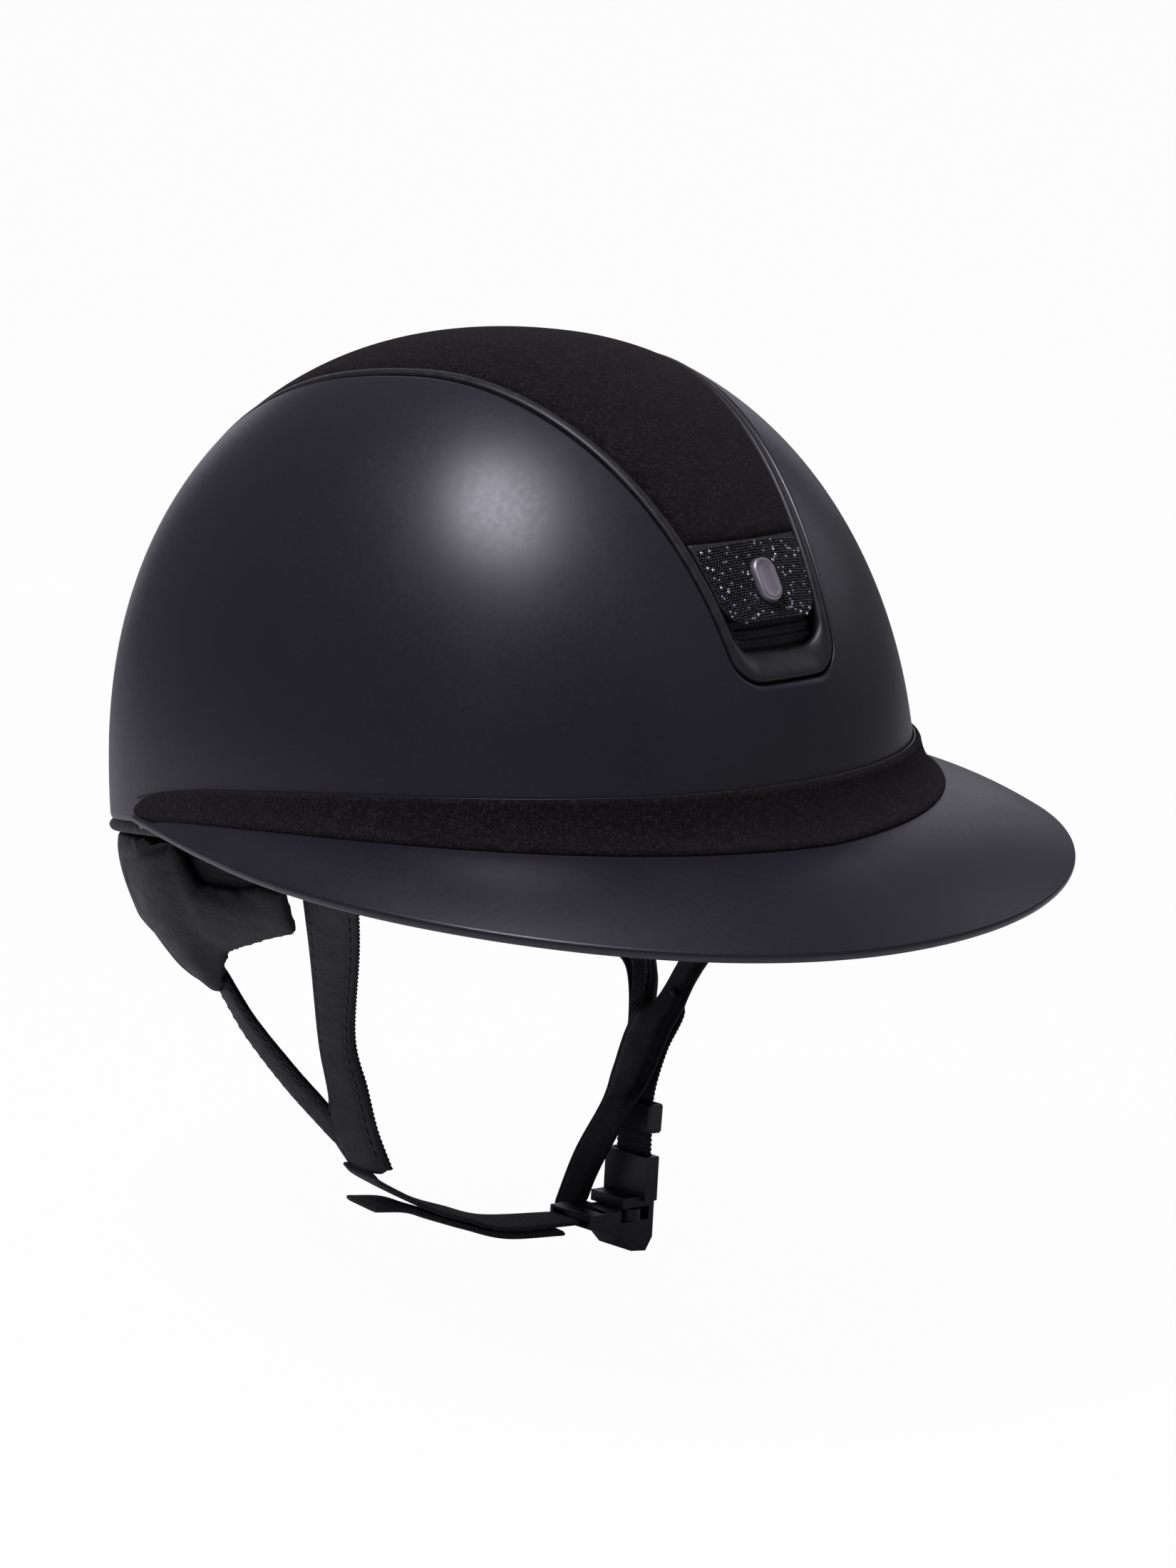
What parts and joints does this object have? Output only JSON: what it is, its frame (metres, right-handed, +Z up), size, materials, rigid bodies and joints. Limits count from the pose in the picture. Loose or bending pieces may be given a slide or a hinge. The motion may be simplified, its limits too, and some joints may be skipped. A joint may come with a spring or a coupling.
{
  "type": "equestrian riding helmet",
  "caption": "Wide-brim equestrian riding helmet with suede top channel, beaded insert over the front air intake, padded liner and four-point harness with side-release buckle.",
  "frame": {"origin": "middle of the head opening, level with the rim at the ears", "axes": "+Z up to the crown, front and brim towards -Y, wearer's left and the buckle towards +X"},
  "size_m": [0.2526, 0.321, 0.2873],
  "materials": {
    "shell": "very dark navy, fine satin texture",
    "frame_plastic": "satin",
    "hidden_plastic": "matt",
    "suede": "napped synthetic suede",
    "beads": "dense small black glass beads",
    "crystal": "cut, bright",
    "badge_metal": "dark nickel",
    "mesh": "open ribbed mesh",
    "leatherette": "soft synthetic leather",
    "foam": "moulded bead foam",
    "liner_fabric": "spacer mesh over foam",
    "hook_tape": "hook and loop",
    "steel": "plated",
    "webbing": "woven, ribbed edges",
    "buckle_plastic": "satin moulded"
  },
  "bodies": {
    "helmet": {"outer_shell": "shell", "channel_frame": "frame_plastic", "top_panel_plate": "hidden_plastic", "top_panel_suede": "suede", "insert_plate": "hidden_plastic", "insert_beads": "beads", "insert_crystals": "crystal", "badge": "badge_metal", "front_vent_mesh": "mesh", "rear_vent_grille": "frame_plastic", "brim": "shell", "brim_band": "suede", "rim_piping": "leatherette", "foam_liner": "foam", "crown_pad": "liner_fabric", "headband_pad": "liner_fabric", "liner_tabs": "hook_tape", "nape_cover": "leatherette", "nape_piping": "leatherette", "front_anchors": "steel", "rear_anchors": "steel"},
    "harness": {"front_eyelets": "steel", "right_front_sleeve": "leatherette", "right_rear_sleeve": "leatherette", "left_front_sleeve": "leatherette", "left_rear_sleeve": "leatherette", "right_webbing": "webbing", "left_webbing": "webbing", "rear_webbing": "webbing", "chin_strap": "webbing", "buckle_plug": "buckle_plastic"},
    "tail": {"strap_tail": "webbing"},
    "arm_front": {"plug_arm_front": "buckle_plastic"},
    "arm_rear": {"plug_arm_rear": "buckle_plastic"},
    "socket": {"buckle_socket": "buckle_plastic", "socket_webbing": "webbing"},
    "adjuster": {"strap_adjuster": "buckle_plastic"}
  },
  "joints": [
    {"name": "strap_swing", "type": "hinge", "parent": "helmet", "child": "harness", "pos_m": [0, -0.02, -0.007], "axis": [1, 0, 0], "range_deg": [0, 25], "deforming": ["right_rear_sleeve", "left_rear_sleeve", "rear_webbing"]},
    {"name": "tail_drop", "type": "hinge", "parent": "harness", "child": "tail", "pos_m": [0.008, -0.003, -0.1371], "axis": [0, -1, 0], "range_deg": [0, 20]},
    {"name": "arm_front_squeeze", "type": "hinge", "parent": "harness", "child": "arm_front", "pos_m": [0.03064, -0.00755, -0.13629], "axis": [0.0698, 0, 0.9976], "range_deg": [0, 8]},
    {"name": "arm_rear_squeeze", "type": "hinge", "parent": "harness", "child": "arm_rear", "pos_m": [0.03064, 0.00155, -0.13629], "axis": [0.0698, 0, 0.9976], "range_deg": [-8, 0]},
    {"name": "buckle_release", "type": "slide", "parent": "harness", "child": "socket", "axis": [0.9976, 0, -0.0698], "range_m": [0, 0.026]},
    {"name": "adjuster_slide", "type": "slide", "parent": "socket", "child": "adjuster", "axis": [0.1045, 0, 0.9945], "range_m": [-0.006, 0]}
  ],
  "couplings": [
    {"joint": "arm_rear_squeeze", "follows": "arm_front_squeeze", "ratio": -1}
  ]
}
